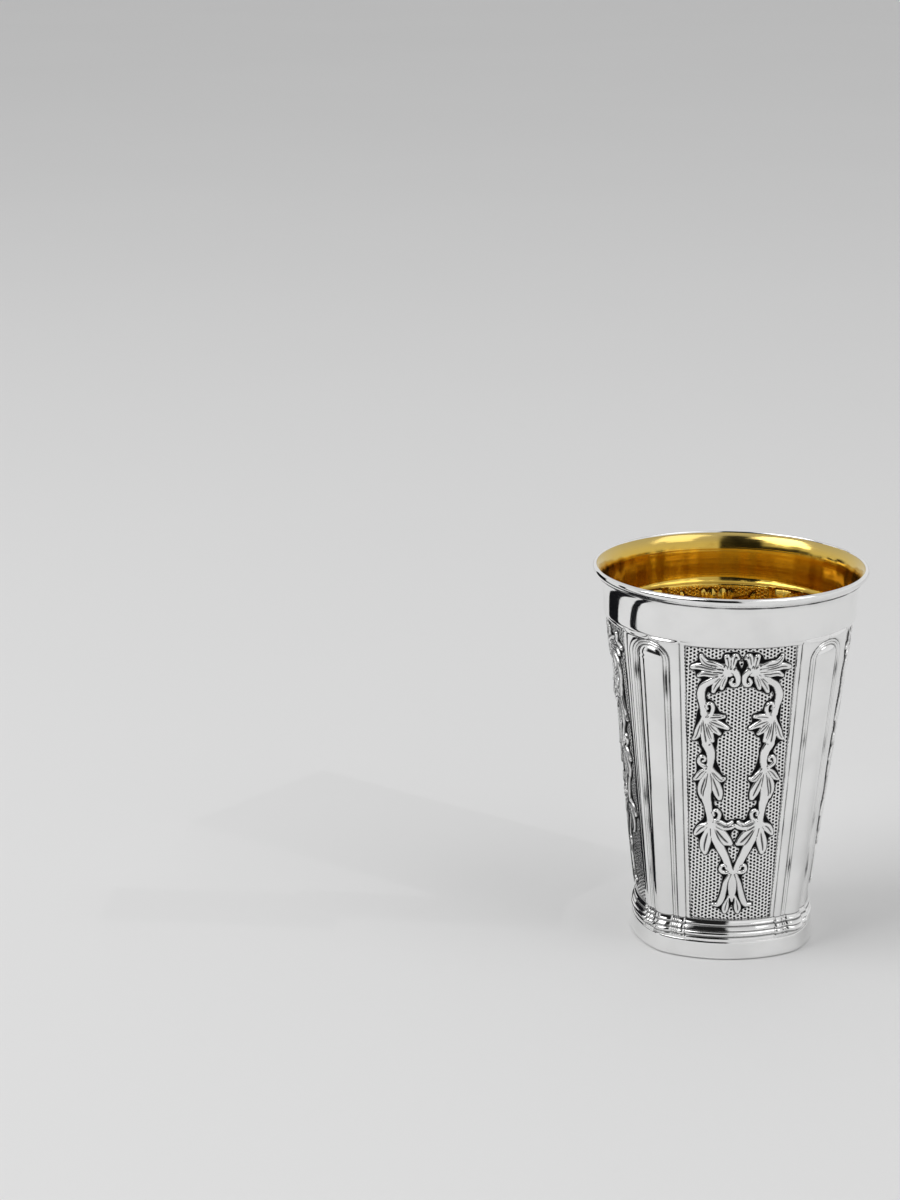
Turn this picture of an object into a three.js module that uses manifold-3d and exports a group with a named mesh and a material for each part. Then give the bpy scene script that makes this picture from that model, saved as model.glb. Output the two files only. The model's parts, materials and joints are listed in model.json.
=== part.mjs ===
// A footless silver beaker for the blessing over wine. Its tapered body is a soft square in plan:
// four stippled leaf panels make the bulged sides, and four groups of convex flutes the corners.
// Millimetres, +Z up, origin at the centre of the underside. The front panel faces -Y.

import * as THREE from "three";
import { mergeVertices } from "three/addons/utils/BufferGeometryUtils.js";
import Module from "manifold-3d";

const wasm = await Module();
wasm.setup();

// Driving dimensions.
const HEIGHT = 90;
const LIP_RADIUS = 32;
const WALL = 0.7;

// Heights of the parts, from the table up.
const FOOT_BAND_TOP = 4.3;
const MOULDING_TOP = 9.6;
const FLOOR_TOP = 9;
const FLUTE_TOP = 77.6;
const BAND_BOTTOM = 78.8;
const ARCH_HEIGHT = 4.2;

// Radii at the middle of a side.
const FOOT_RADIUS = 21.7;
const BODY_BOTTOM_RADIUS = 20.3;
const BODY_TOP_RADIUS = 28.25;
const BAND_RADIUS = 29.3;

// The recess under the foot ring.
const RECESS_RADIUS = 19.9;
const RECESS_DEPTH = 7.6;

// The soft square: how far each side's arc is struck from behind the centre, as a share of the
// radius, and how far round from a corner its rounding reaches, in degrees.
const SIDE_BULGE = 0.287;
const CORNER_ROUNDING = 8;

// Half of one corner's flute group, in degrees from the corner: how far each element reaches.
const LOBE_REACH = 7.6;
const OUTLINE_REACH = 10.8;
const STRIP_REACH = 15.8;
const FRAME_START = 16.5;
const FRAME_END = 18.2;
const GROUP_REACH = 18.7;
const QUARTER = 90;

// How far the elements of a group stand out of the panels' ground.
const LOBE_RISE = 1.0;
const OUTLINE_RISE = 0.45;
const STRIP_RISE = 0.6;
const FRAME_RISE = 0.35;

// The leaves and stems stand out of the ground, and reach into the wall to join it.
const LEAF_RISE = 0.55;
const LEAF_ROOT = 0.3;

// How near its stalk a leaf's outline comes between two lobes, as a share of the shorter one's
// length, and where they stand further apart than the wide gap, in degrees.
const LOBE_NOTCH = 0.6;
const STALK_NOTCH = 0.3;
const WIDE_GAP = 90;

const RECESS_SEGMENTS = 48;
const radians = THREE.MathUtils.degToRad;

// Columns of the two surfaces in one half of a quarter, in degrees from the corner.
const OUTER_COLUMNS = [0, 3.4, 6, LOBE_REACH, 9.2, OUTLINE_REACH, 13.3, STRIP_REACH, FRAME_START,
  FRAME_END, GROUP_REACH, 31];
const INNER_COLUMNS = [0, 4, LOBE_REACH, OUTLINE_REACH, STRIP_REACH, 24, 34];

// Rings of the outer surface: height, radius at the middle of a side, how square the plan is
// (1 is the full soft square, 0 a circle) and what share of the flutes' relief shows.
const OUTER_RINGS = [
  { z: 0, radius: FOOT_RADIUS - 0.3, square: 1, relief: 0 },
  { z: 0.4, radius: FOOT_RADIUS, square: 1, relief: 0 },
  { z: FOOT_BAND_TOP, radius: 21.25, square: 1, relief: 0 },
  { z: 5.5, radius: 20.55, square: 1, relief: 0.6 },
  { z: 6.1, radius: 21.1, square: 1, relief: 0.8 },
  { z: 6.8, radius: 20.65, square: 1, relief: 0.8 },
  { z: 7.5, radius: 20.95, square: 1, relief: 0.8 },
  { z: 8.2, radius: 20.35, square: 1, relief: 0.8 },
  { z: 8.8, radius: 20.55, square: 1, relief: 0.8 },
  { z: MOULDING_TOP, radius: BODY_BOTTOM_RADIUS, square: 0.9, relief: 1 },
  ...[0, 0.3, 0.55, 0.8].map((share) => bodyRing(FLUTE_TOP - ARCH_HEIGHT * (1 - share))),
  bodyRing(FLUTE_TOP),
  { z: BAND_BOTTOM, radius: BAND_RADIUS, square: 0, relief: 0 },
  { z: 84, radius: BAND_RADIUS + 0.3, square: 0, relief: 0 },
  { z: 86.6, radius: 30.2, square: 0, relief: 0 },
  { z: 88, radius: 31.2, square: 0, relief: 0 },
  { z: 88.6, radius: LIP_RADIUS - 0.2, square: 0, relief: 0 },
  { z: 89.2, radius: LIP_RADIUS, square: 0, relief: 0 },
  { z: 89.75, radius: LIP_RADIUS - 0.25, square: 0, relief: 0 },
  { z: HEIGHT, radius: LIP_RADIUS - 0.8, square: 0, relief: 0 },
];

// Rings of the inside, from the floor to past the mouth, in the same terms. Where it is square it
// lies a wall's thickness inside the outer surface.
const INNER_RINGS = [
  { z: FLOOR_TOP, radius: 18, square: 0.9, relief: 0 },
  { z: FLOOR_TOP + 1.4, radius: BODY_BOTTOM_RADIUS - WALL + 0.1, square: 0.9, relief: 0.8 },
  insideRing(FLUTE_TOP - ARCH_HEIGHT),
  { z: FLUTE_TOP, radius: BODY_TOP_RADIUS - WALL, square: 0.3, relief: 0 },
  { z: BAND_BOTTOM + 1, radius: BAND_RADIUS - WALL, square: 0, relief: 0 },
  { z: 84, radius: BAND_RADIUS + 0.3 - WALL, square: 0, relief: 0 },
  { z: 87.2, radius: 29.6, square: 0, relief: 0 },
  { z: HEIGHT + 0.1, radius: 30.9, square: 0, relief: 0 },
];

// The recess under the floor, from below the underside up, as [radius, height].
const RECESS_PROFILE = [
  [0, -0.1],
  [RECESS_RADIUS + 0.2, -0.1],
  [RECESS_RADIUS, 1],
  [RECESS_RADIUS - 0.6, RECESS_DEPTH],
  [0, RECESS_DEPTH + 0.3],
];

// A body ring between the moulding and the band.
function bodyRing(z) {
  const share = (z - MOULDING_TOP) / (FLUTE_TOP - MOULDING_TOP);
  return {
    z,
    radius: THREE.MathUtils.lerp(BODY_BOTTOM_RADIUS, BODY_TOP_RADIUS, share),
    square: THREE.MathUtils.lerp(0.9, 0.3, share),
    relief: 1,
  };
}

// The ring that lies a wall's thickness inside the body.
function insideRing(z) {
  const ring = bodyRing(z);
  return { ...ring, radius: ring.radius - WALL, relief: 0.9 };
}

// Degrees from the nearest corner, 0 to 45.
function fromCorner(azimuth) {
  return Math.abs(THREE.MathUtils.euclideanModulo(azimuth, QUARTER) - QUARTER / 2);
}

// Radius of the soft square at an azimuth, where the middle of a side is 1.
function softSquare(azimuth) {
  const half = QUARTER / 2;
  const rounded = Math.hypot(fromCorner(azimuth), CORNER_ROUNDING) *
    half / Math.hypot(half, CORNER_ROUNDING);
  const fromSide = radians(half - rounded);
  const arc = Math.sqrt((1 + SIDE_BULGE) ** 2 - (SIDE_BULGE * Math.sin(fromSide)) ** 2);
  return arc - SIDE_BULGE * Math.cos(fromSide);
}

// A rounded ridge between two reaches, 0 at both and 1 in the middle.
function ridge(at, low, high) {
  const across = (2 * at - low - high) / (high - low);
  return Math.abs(across) < 1 ? Math.sqrt(1 - across * across) : 0;
}

// How far a flute group stands out at an azimuth and height. The lobe and its outline end in a
// round arch: past the spring line, reach is measured from the arch's centre.
function fluteRise(azimuth, z) {
  const turn = fromCorner(azimuth);
  if (turn >= GROUP_REACH) return 0;
  const overSpring = Math.max(0, z - (FLUTE_TOP - ARCH_HEIGHT)) / ARCH_HEIGHT;
  const reach = Math.hypot(turn, overSpring * OUTLINE_REACH);
  if (reach < LOBE_REACH) return LOBE_RISE * ridge(reach, -LOBE_REACH, LOBE_REACH);
  if (reach < OUTLINE_REACH) return OUTLINE_RISE * ridge(reach, LOBE_REACH, OUTLINE_REACH);
  if (turn < OUTLINE_REACH) return OUTLINE_RISE;
  if (turn < STRIP_REACH) return STRIP_RISE * ridge(turn, OUTLINE_REACH, STRIP_REACH);
  return turn < FRAME_START || turn > FRAME_END ? 0 : FRAME_RISE;
}

// Outer radius of a ring at an azimuth.
function ringRadius(ring, azimuth) {
  const plan = THREE.MathUtils.lerp(1, softSquare(azimuth), ring.square);
  return ring.radius * plan + ring.relief * fluteRise(azimuth, ring.z);
}

// A closed geometry as a solid that can be joined and cut.
function solid(geometry) {
  geometry.deleteAttribute("normal");
  geometry.deleteAttribute("uv");
  const closed = mergeVertices(geometry, 1e-4);
  return new wasm.Manifold(new wasm.Mesh({
    numProp: 3,
    vertProperties: closed.attributes.position.array,
    triVerts: new Uint32Array(closed.index.array),
  }));
}

// A solid turned from a profile of [radius, height] pairs that starts and ends on the axis.
function turned(profile, segments) {
  const points = profile.map(([radius, z]) => new THREE.Vector2(radius, z));
  return new THREE.LatheGeometry(points, segments).rotateX(Math.PI / 2);
}

// The azimuths of a surface's columns, all the way round.
function azimuthsOf(columns) {
  const half = QUARTER / 2;
  const mirrored = columns.slice(1).reverse().map((turn) => QUARTER - turn);
  const quarter = [...columns, half, ...mirrored];
  return [0, 1, 2, 3].flatMap((side) => quarter.map((turn) => side * QUARTER + half + turn));
}

// The space inside a stack of rings as a solid: a lathe turned with one segment for each column,
// whose points are then moved to their own azimuth and radius.
function stacked(rings, columns) {
  const azimuths = azimuthsOf(columns);
  const [bottom, top] = [rings[0], rings[rings.length - 1]];
  const profile = [[0, bottom.z], ...rings.map((ring) => [ring.radius, ring.z]), [0, top.z]];
  const geometry = turned(profile, azimuths.length);
  const position = geometry.attributes.position;
  for (let i = 0; i < position.count; i++) {
    const ring = rings[(i % profile.length) - 1];
    if (!ring) continue;
    const azimuth = azimuths[Math.floor(i / profile.length) % azimuths.length];
    const radius = ringRadius(ring, azimuth);
    position.setXYZ(i, radius * Math.sin(radians(azimuth)), -radius * Math.cos(radians(azimuth)),
      ring.z);
  }
  return solid(geometry);
}

// A shape drawn flat on a panel, x across and y up, raised as a plate and wrapped on the panel
// that faces the given azimuth.
function raised(shape, facing) {
  const geometry = new THREE.ExtrudeGeometry(shape, {
    depth: LEAF_RISE + LEAF_ROOT, bevelEnabled: false,
  });
  const position = geometry.attributes.position;
  for (let i = 0; i < position.count; i++) {
    const z = position.getY(i);
    const ring = bodyRing(z);
    const azimuth = facing + THREE.MathUtils.radToDeg(position.getX(i) / ring.radius);
    const radius = ringRadius(ring, azimuth) + position.getZ(i) - LEAF_ROOT;
    const turn = radians(azimuth);
    position.setXYZ(i, radius * Math.sin(turn), -radius * Math.cos(turn), z);
  }
  return solid(geometry);
}

// A leaf: lobes that fan out from its stalk, each a tip followed by a notch.
// lobes holds the lobes' [direction in degrees from +x, length in mm], anticlockwise.
function leaf({ x, y, lobes }) {
  const polar = (degrees, length) => new THREE.Vector2(
    x + length * Math.cos(radians(degrees)), y + length * Math.sin(radians(degrees)));
  const points = lobes.flatMap(([direction, length], i) => {
    const [next, nextLength] = lobes[(i + 1) % lobes.length];
    const step = THREE.MathUtils.euclideanModulo(next - direction, 360);
    const depth = step > WIDE_GAP ? STALK_NOTCH : LOBE_NOTCH;
    const shorter = Math.min(length, nextLength);
    return [polar(direction, length), polar(direction + step / 2, depth * shorter)];
  });
  return new THREE.Shape(points);
}

// A stem: a strip of the given width along a smooth curve through [x, y] points.
function stem(points, width) {
  const curve = new THREE.SplineCurve(points.map(([x, y]) => new THREE.Vector2(x, y)));
  const steps = points.length - 1;
  const side = (sign) => Array.from({ length: steps + 1 }, (_, i) => {
    const along = curve.getTangent(i / steps);
    return curve.getPoint(i / steps).add(new THREE.Vector2(-along.y, along.x)
      .multiplyScalar(sign * width / 2));
  });
  return new THREE.Shape([...side(-1), ...side(1).reverse()]);
}

// The left half of one panel's wreath, in millimetres from the panel's middle line and the
// underside: a stem and four leaves, whose longest lobe is the stem that runs on to the next leaf.
const STEM = [[-6.6, 70.4], [-8.8, 68], [-8.9, 64.5], [-7.9, 60]];
const STEM_WIDTH = 1.5;
const LEAVES = [
  { x: -4.2, y: 72.2, lobes: [[50, 4.5], [75, 4.4], [145, 6], [172, 7.2], [250, 5.2], [315, 4.4]] },
  { x: -7.6, y: 60.4, lobes: [[75, 3.6], [245, 5.8], [277, 13.2], [308, 5], [335, 5.3]] },
  { x: -6.4, y: 47, lobes: [[100, 3.8], [208, 3.6], [255, 6], [273, 12.4], [298, 6.9], [332, 4.2]] },
  { x: -5.6, y: 34, lobes: [[55, 3.4], [218, 4.2], [252, 7.6], [293, 13], [315, 6.2], [358, 5]] },
];
const PENDANT = { x: 0, y: 18, lobes: [[90, 4.6], [232, 5.6], [256, 6.6], [284, 6.6], [308, 5.6]] };

// A shape mirrored in the panel's middle line.
function mirrored(shape) {
  return new THREE.Shape(shape.getPoints().map((p) => new THREE.Vector2(-p.x, p.y)).reverse());
}

// Everything raised on the panel that faces the given azimuth.
function wreath(facing) {
  const half = [stem(STEM, STEM_WIDTH), ...LEAVES.map(leaf)];
  const shapes = [...half, ...half.map(mirrored), leaf(PENDANT)];
  return shapes.map((shape) => raised(shape, facing));
}

// The finished beaker: outside, leaves, then the cavity and the recess cut away.
function cup() {
  let body = stacked(OUTER_RINGS, OUTER_COLUMNS);
  for (let side = 0; side < 4; side++) {
    for (const plate of wreath(side * QUARTER)) body = body.add(plate);
  }
  body = body.subtract(stacked(INNER_RINGS, INNER_COLUMNS));
  return body.subtract(solid(turned(RECESS_PROFILE, RECESS_SEGMENTS)));
}

// A solid as a three.js geometry.
function geometryOf(made) {
  const mesh = made.getMesh();
  return new THREE.BufferGeometry()
    .setAttribute("position", new THREE.BufferAttribute(mesh.vertProperties, 3))
    .setIndex(new THREE.BufferAttribute(mesh.triVerts, 1));
}

const silver = new THREE.MeshStandardMaterial({ color: 0xdcdcda, roughness: 0.16, metalness: 1 });

const beaker = new THREE.Mesh(geometryOf(cup()), silver);
beaker.name = "cup";

const group = new THREE.Group();
group.add(beaker);

export default group;
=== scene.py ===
"""Kiddush cup: a silver beaker with fluted corners, four leaf panels and a gilded inside."""

import json
import logging
import math
from abc import ABC, abstractmethod
from dataclasses import dataclass
from enum import Enum
from typing import Any, Callable, ClassVar

import bpy
import numpy as np
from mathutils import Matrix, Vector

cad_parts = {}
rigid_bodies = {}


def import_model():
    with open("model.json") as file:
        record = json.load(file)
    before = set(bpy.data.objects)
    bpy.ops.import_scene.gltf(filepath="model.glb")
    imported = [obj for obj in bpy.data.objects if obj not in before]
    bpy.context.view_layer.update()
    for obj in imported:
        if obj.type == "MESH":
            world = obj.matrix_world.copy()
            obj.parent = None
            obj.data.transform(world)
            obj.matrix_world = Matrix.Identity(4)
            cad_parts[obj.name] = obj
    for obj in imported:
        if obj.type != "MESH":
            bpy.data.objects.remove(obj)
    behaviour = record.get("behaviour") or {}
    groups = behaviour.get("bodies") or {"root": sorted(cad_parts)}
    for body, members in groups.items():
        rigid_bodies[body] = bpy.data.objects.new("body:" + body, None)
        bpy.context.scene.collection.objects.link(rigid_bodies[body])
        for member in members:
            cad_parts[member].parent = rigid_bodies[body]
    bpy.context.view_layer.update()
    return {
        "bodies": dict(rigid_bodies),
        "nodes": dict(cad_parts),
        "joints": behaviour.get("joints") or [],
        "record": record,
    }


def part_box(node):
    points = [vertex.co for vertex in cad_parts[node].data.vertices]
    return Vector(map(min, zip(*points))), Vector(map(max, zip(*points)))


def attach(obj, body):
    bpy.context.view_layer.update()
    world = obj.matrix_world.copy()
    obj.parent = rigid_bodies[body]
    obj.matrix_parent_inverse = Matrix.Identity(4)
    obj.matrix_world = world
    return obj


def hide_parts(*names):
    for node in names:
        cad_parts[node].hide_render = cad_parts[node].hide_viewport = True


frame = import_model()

LOG = logging.getLogger("kiddush_cup")
MM = 0.001
BODY = "root"
CUP_NODE = "cup"
QUARTER = 90.0
SIDES = ("front", "right", "back", "left")
# Rows of a wrapped sheet are heights or places along a section; these are added to tell them apart.
ON_WALL = 100.0
ON_RIM = 200.0
BEHIND = 1000.0

Array = np.ndarray
Marks = dict[str, Array]
Place = Callable[[Array, Array], tuple[Array, Marks]]
Colour = tuple[float, float, float, float]
Triple = tuple[float, float, float]


class Slot(Enum):
    """The record's material slots."""

    SILVER = "silver"
    GILDING = "gilding"


# ------------------------------------------------------------------ small shape maths


def ridge(across: Array, fullness: float = 0.5) -> Array:
    """Round ridge section.

    Args:
        across: Distance from the ridge's crown, 1 at its edge.
        fullness: Power of the section; 0.5 is a half circle and less is flatter on top.

    Returns:
        1 on the crown, falling to 0 at the edge and beyond.
    """
    return np.clip(1 - across**2, 0, None) ** fullness


def step(value: Array, low: float, high: float) -> Array:
    """Smooth rise from 0 at low to 1 at high."""
    t = np.clip((value - low) / (high - low), 0, 1)
    return t * t * (3 - 2 * t)


def cut(distance: Array, width: float) -> Array:
    """Soft line: 1 where the distance is 0, fading over the width."""
    return np.exp(-((distance / width) ** 2))


def wander(along: Array, seed: float) -> Array:
    """Slow uneven wave from about -1 to 1, the same on every run."""
    return (np.sin(along + seed) + np.sin(2.3 * along + 1.7 * seed) + np.sin(3.9 * along - seed)) / 3


def stretches(*runs: Triple) -> Array:
    """Joins runs of even steps end to end.

    Args:
        runs: Start, end and wanted step of each run.

    Returns:
        Every value in order, with shared ends only once.
    """
    values = [np.linspace(a, b, max(1, round(abs(b - a) / gap)) + 1)[:-1] for a, b, gap in runs]
    return np.concatenate([*values, [runs[-1][1]]])


# ------------------------------------------------------------------ the cup's plan


@dataclass(frozen=True)
class CupPlan:
    """The cup's main sizes in millimetres, and its plan: a circle at the lip, softly square below."""

    height: float
    lip_radius: float
    foot_band_top: float = 4.3
    moulding_top: float = 9.6
    flute_top: float = 77.6
    band_bottom: float = 78.8
    body_bottom_radius: float = 20.3
    body_top_radius: float = 28.25
    band_radius: float = 29.3
    side_bulge: float = 0.287
    corner_rounding: float = 8.0
    bottom_square: float = 0.9
    top_square: float = 0.3

    def from_corner(self, azimuth: Array) -> Array:
        """Angle from the nearest corner, in degrees."""
        return np.abs(np.mod(azimuth, QUARTER) - QUARTER / 2)

    def from_side(self, azimuth: Array) -> Array:
        """Angle from the nearest mid-side, in degrees, negative to its left."""
        return np.mod(azimuth + QUARTER / 2, QUARTER) - QUARTER / 2

    def plan(self, azimuth: Array, square: Array, rounding: float | None = None) -> Array:
        """Radius of the plan for a mid-side radius of 1.

        Args:
            azimuth: Angle round the cup in degrees.
            square: 0 for a circle, 1 for the soft square.
            rounding: Degrees over which a corner is rounded, the body's own if it isn't given.

        Returns:
            The radius as a multiple of the mid-side radius.
        """
        half, soften = QUARTER / 2, rounding or self.corner_rounding
        rounded = np.hypot(self.from_corner(azimuth), soften) * half / math.hypot(half, soften)
        side = np.radians(half - rounded)
        bulge = self.side_bulge
        soft = np.sqrt((1 + bulge) ** 2 - (bulge * np.sin(side)) ** 2) - bulge * np.cos(side)
        return 1 + (soft - 1) * square

    def up_body(self, z: Array) -> Array:
        """How far up the fluted body a height is, from 0 to 1."""
        return np.clip((z - self.moulding_top) / (self.flute_top - self.moulding_top), 0, 1)

    def body_radius(self, z: Array) -> Array:
        """Mid-side radius of the body at a height."""
        return self.body_bottom_radius + (self.body_top_radius - self.body_bottom_radius) * self.up_body(z)

    def body_square(self, z: Array) -> Array:
        """Squareness of the body's plan at a height."""
        return self.bottom_square + (self.top_square - self.bottom_square) * self.up_body(z)

    def ground(self, azimuth: Array, z: Array) -> Array:
        """Radius of the panels' ground."""
        return self.body_radius(z) * self.plan(azimuth, self.body_square(z))

    def point(self, azimuth: Array, radius: Array, z: Array) -> Array:
        """Points in metres; azimuth 0 faces the front and grows toward the right."""
        turn = np.radians(azimuth)
        return np.stack([radius * np.sin(turn), -radius * np.cos(turn), z + 0 * turn], -1) * MM


@dataclass(frozen=True)
class FluteGroup:
    """A corner's raised work: a round lobe in a beaded arch, a broad strip and the panel's frame.

    Reaches are in degrees from the corner, and rises in millimetres above the panels' ground.
    """

    lobe_reach: float = 7.6
    outline_reach: float = 10.8
    strip_reach: float = 15.8
    frame_start: float = 16.5
    frame_end: float = 18.7
    arch_spring: float = 73.4
    arch_height: float = 4.2
    lobe_rise: float = 1.15
    outline_rise: float = 0.5
    strip_rise: float = 0.66
    frame_rise: float = 0.34
    groove: float = 0.12

    def shape(self, turn: Array, z: Array) -> tuple[Array, Array]:
        """Relief of the group.

        Args:
            turn: Degrees from the corner.
            z: Height in millimetres.

        Returns:
            The rise in millimetres, and how dark the grooves are, from 0 to 1.
        """
        over = np.clip(z - self.arch_spring, 0, None) / self.arch_height * self.outline_reach
        reach = np.hypot(turn, over)
        crease = 0.06 * cut(z - self.arch_spring - 0.3, 0.35)
        on_lobe = reach < self.lobe_reach
        lobe = self.lobe_rise * ridge(reach / self.lobe_reach, 0.62) - crease * on_lobe
        bead = (self.outline_reach - self.lobe_reach) / 4
        first = ridge((reach - self.lobe_reach - bead) / bead, 0.6)
        second = ridge((reach - self.outline_reach + bead) / bead, 0.6)
        outline = self.groove + self.outline_rise * np.maximum(0.85 * first, second)
        inner = np.sqrt(np.clip(self.outline_reach**2 - over**2, 0, None))
        along = 2 * (turn - inner) / (self.strip_reach - inner) - 1
        strip = self.strip_rise * ridge(along, 0.33) + self.groove * 0.5
        frame = self.frame_rise * step(turn, self.frame_start - 0.35, self.frame_start + 0.1)
        rise = np.where(on_lobe, lobe + self.groove, outline)
        rise = np.where(reach > self.outline_reach, strip, rise)
        rise = np.where(turn > self.strip_reach, frame, rise)
        past_lobe = reach - self.lobe_reach
        dark = 0.85 * cut(past_lobe, 0.36) + 0.6 * cut(past_lobe - 2 * bead, 0.26)
        dark = dark + 0.9 * cut(reach - self.outline_reach, 0.36)
        dark = dark + 0.75 * cut(turn - self.strip_reach - 0.2, 0.34)
        return rise, np.clip(dark, 0, 1)


# ------------------------------------------------------------------ the leaf wreath


@dataclass(frozen=True)
class Stroke:
    """One lobe, stem or curl of the wreath: a round ridge along a smooth line.

    The path holds (across, up) places in millimetres on the panel's half, measured from its middle
    line and from the cup's base; the widths are full widths at those places, and full is the share
    of a lobe's height that it reaches.
    """

    path: tuple[tuple[float, float], ...]
    widths: tuple[float, ...]
    vein: bool = False
    full: float = 1.0

    def spine(self, pieces: int = 6) -> tuple[Array, Array]:
        """Smooth centre line.

        Args:
            pieces: Straight pieces between two places of the path.

        Returns:
            The points of the line and the half width at each.
        """
        keys = np.column_stack([np.array(self.path), np.array(self.widths) / 2])
        ends = np.vstack([2 * keys[0] - keys[1], keys, 2 * keys[-1] - keys[-2]])
        line = []
        for a, b, c, d in zip(ends, ends[1:], ends[2:], ends[3:]):
            for t in np.arange(pieces) / pieces:
                bend = 2 * b + (c - a) * t + (2 * a - 5 * b + 4 * c - d) * t**2
                line.append((bend + (3 * b - a - 3 * c + d) * t**3) / 2)
        line = np.array([*line, keys[-1]])
        return line[:, :2], np.clip(line[:, 2], 0.12, None)


# Left half of the wreath, from the top leaf down to the pendant between the stems.
TOP_LEAF = (
    Stroke(((2.4, 72.7), (4.4, 72.2), (6.6, 72.2)), (2.2, 2.9, 2.0), full=0.4),
    Stroke(((2.3, 72.3), (3.0, 72.4), (4.2, 72.1)), (1.9, 2.6, 2.2)),
    Stroke(((2.9, 72.6), (3.1, 74.4), (3.4, 75.7)), (1.1, 1.3, 1.2), True),
    Stroke(((2.1, 72.8), (1.9, 74.6), (1.5, 75.9), (0.8, 75.4)), (1.3, 1.4, 1.2, 0.6), True),
    Stroke(((3.9, 73.0), (6.0, 73.5), (7.9, 73.9), (8.9, 74.9), (9.2, 75.8)),
           (1.7, 1.9, 1.5, 1.1, 0.7), True),
    Stroke(((3.8, 72.3), (7.2, 72.7), (9.4, 73.1), (11.1, 72.8)), (1.6, 1.5, 1.4, 1.0), True),
    Stroke(((3.9, 71.7), (6.0, 71.4), (8.2, 71.5), (9.5, 70.9)), (1.6, 1.5, 1.3, 0.8), True),
    Stroke(((3.7, 71.4), (4.9, 69.8), (5.7, 68.4), (6.1, 67.2)), (1.3, 1.4, 1.2, 0.8), True),
    Stroke(((3.2, 71.2), (3.8, 69.7), (4.2, 68.1)), (1.2, 1.1, 0.8), True),
    Stroke(((2.4, 72.7), (1.15, 71.7), (0.68, 70.4), (0.9, 69.2), (1.7, 68.9), (2.25, 69.6), (1.9, 70.4)),
           (1.5, 1.3, 1.0, 0.95, 0.85, 0.8, 0.6)),
    Stroke(((4.8, 71.0), (6.6, 69.7), (8.3, 68.3), (8.9, 66.0), (8.4, 63.6), (8.1, 61.6)),
           (1.2, 1.3, 1.4, 1.5, 1.35, 1.3)),
)
SECOND_LEAF = (
    Stroke(((7.5, 61.3), (6.6, 59.5), (7.0, 57.2)), (1.4, 3.2, 1.9), full=0.4),
    Stroke(((6.5, 61.4), (6.1, 62.8), (6.4, 64.0), (7.2, 64.2), (7.7, 63.5), (7.3, 62.9)),
           (0.8, 0.8, 0.7, 0.65, 0.6, 0.5)),
    Stroke(((7.3, 60.6), (5.4, 61.0), (3.5, 61.1)), (1.3, 1.3, 0.7), True),
    Stroke(((7.1, 60.0), (5.2, 59.5), (2.5, 58.3)), (1.3, 1.5, 0.8), True),
    Stroke(((6.9, 59.6), (5.8, 58.2), (4.4, 56.9)), (1.3, 1.4, 0.8), True),
    Stroke(((7.2, 59.4), (6.6, 57.2), (5.9, 55.0)), (1.3, 1.4, 0.7), True),
    Stroke(((8.1, 61.6), (7.8, 58.5), (7.5, 56.0), (7.2, 53.9)), (1.4, 1.6, 1.8, 1.7), True),
    Stroke(((8.2, 60.4), (8.9, 57.8), (9.5, 56.0), (10.2, 55.2)), (1.3, 1.5, 1.2, 0.7), True),
    Stroke(((7.2, 54.2), (6.3, 52.3), (6.0, 50.2), (6.3, 48.2)), (1.9, 1.7, 1.4, 1.3)),
)
THIRD_LEAF = (
    Stroke(((6.2, 48.3), (6.2, 46.6), (6.2, 44.6)), (1.4, 2.6, 1.6), full=0.4),
    Stroke(((6.5, 48.3), (7.8, 48.7), (8.7, 49.7), (8.3, 50.9), (7.4, 50.8), (7.3, 50.0), (7.8, 49.8)),
           (0.8, 0.85, 0.75, 0.7, 0.6, 0.5, 0.5)),
    Stroke(((6.0, 48.1), (4.8, 46.6), (3.7, 45.5), (2.9, 45.7)), (1.4, 1.4, 1.1, 0.7), True),
    Stroke(((6.5, 48.1), (7.9, 47.0), (8.9, 45.7), (9.6, 45.2)), (1.4, 1.4, 1.2, 0.7), True),
    Stroke(((5.9, 47.4), (5.1, 44.8), (4.2, 42.4), (3.7, 40.8)), (1.5, 1.8, 1.8, 1.0), True),
    Stroke(((6.6, 47.4), (7.5, 44.6), (7.9, 42.6), (7.7, 40.9)), (1.5, 1.9, 1.6, 0.9), True),
    Stroke(((6.2, 47.6), (6.4, 44.5), (6.8, 41.4), (6.2, 38.8), (5.8, 36.3), (5.6, 34.6)),
           (1.4, 1.6, 1.9, 1.5, 1.3, 1.4)),
)
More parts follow.
